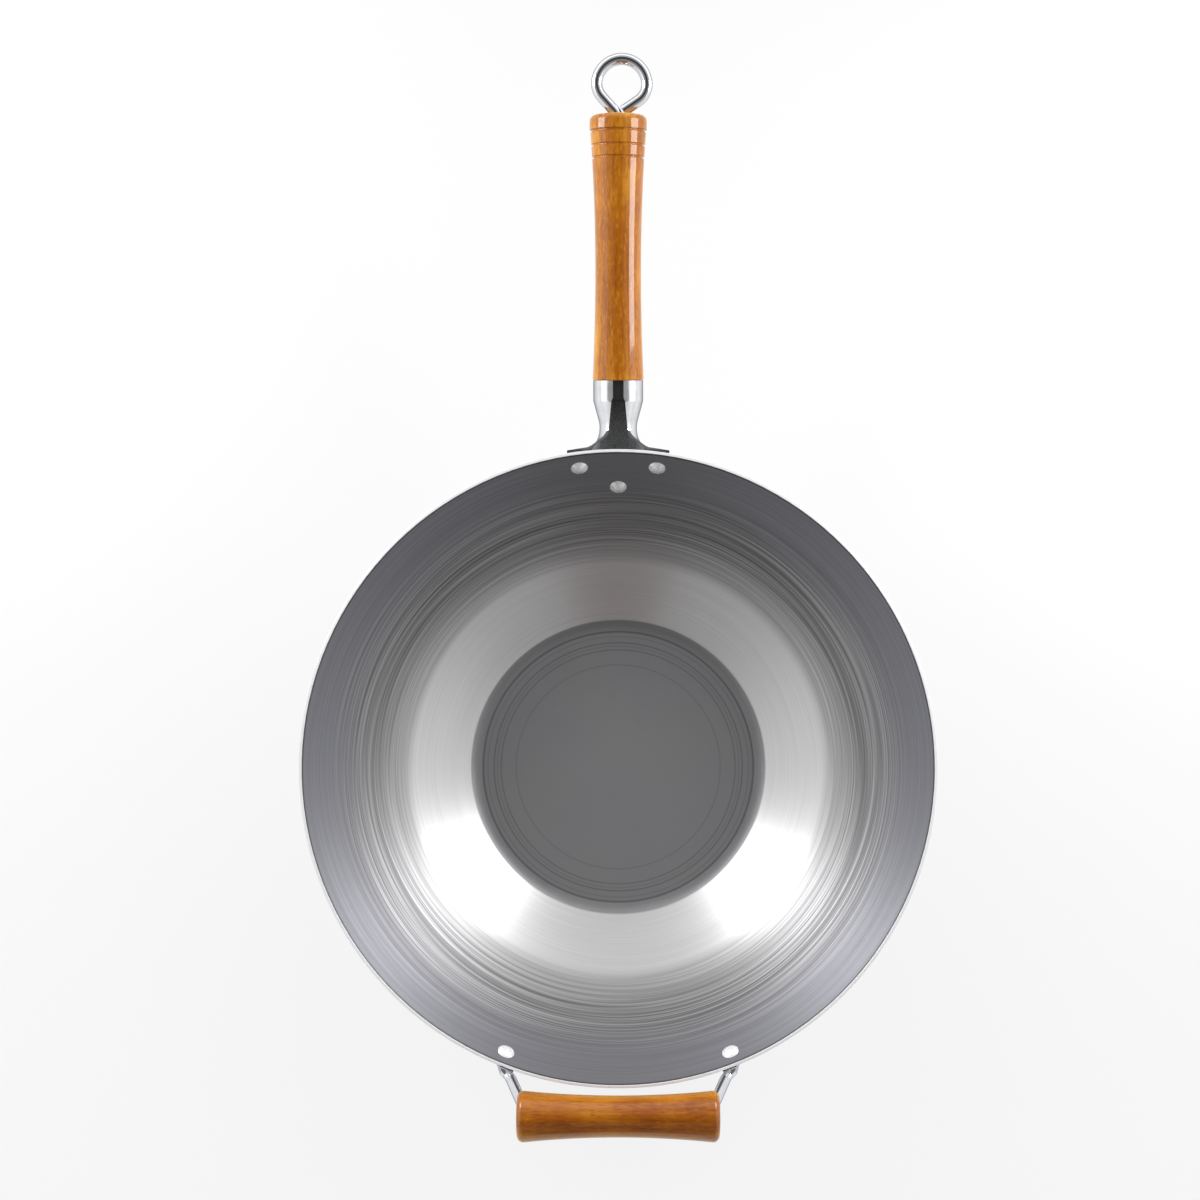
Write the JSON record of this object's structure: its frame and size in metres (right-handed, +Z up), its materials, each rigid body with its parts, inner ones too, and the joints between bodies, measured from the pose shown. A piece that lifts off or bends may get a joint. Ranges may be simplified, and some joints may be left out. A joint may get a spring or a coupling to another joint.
{
  "type": "flat-bottomed wok",
  "caption": "Flat-bottomed wok: spun sheet bowl with a riveted socket for a long turned wooden handle, a hanging eye, and a wooden helper grip on a bent wire bail.",
  "frame": {"origin": "centre of the flat base's underside, on the surface that the wok stands on", "axes": "+Z up out of the bowl, +Y along the long handle, +X to the right when the long handle points away from the viewer; the helper handle is at -Y"},
  "size_m": [0.3556, 0.5867, 0.1392],
  "materials": {
    "carbon_steel": "bare spun carbon steel, satin with fine spinning lines",
    "socket_steel": "bright plated outside, dull grey inside the trough",
    "wire_steel": "bright plated wire",
    "rivet_steel": "bright domed heads",
    "anchor_steel": "dull black oxide",
    "lacquered_wood": "orange-brown hardwood under clear gloss lacquer"
  },
  "bodies": {
    "root": {"bowl": "carbon_steel", "handle_socket": "socket_steel", "socket_rivet_left": "rivet_steel", "socket_rivet_right": "rivet_steel", "socket_rivet_lower": "rivet_steel", "handle_anchor": "anchor_steel", "handle_grip": "lacquered_wood", "hanging_eye": "wire_steel", "helper_bail": "wire_steel", "bail_rivet_left": "rivet_steel", "bail_rivet_right": "rivet_steel", "helper_grip": "lacquered_wood"}
  },
  "joints": []
}
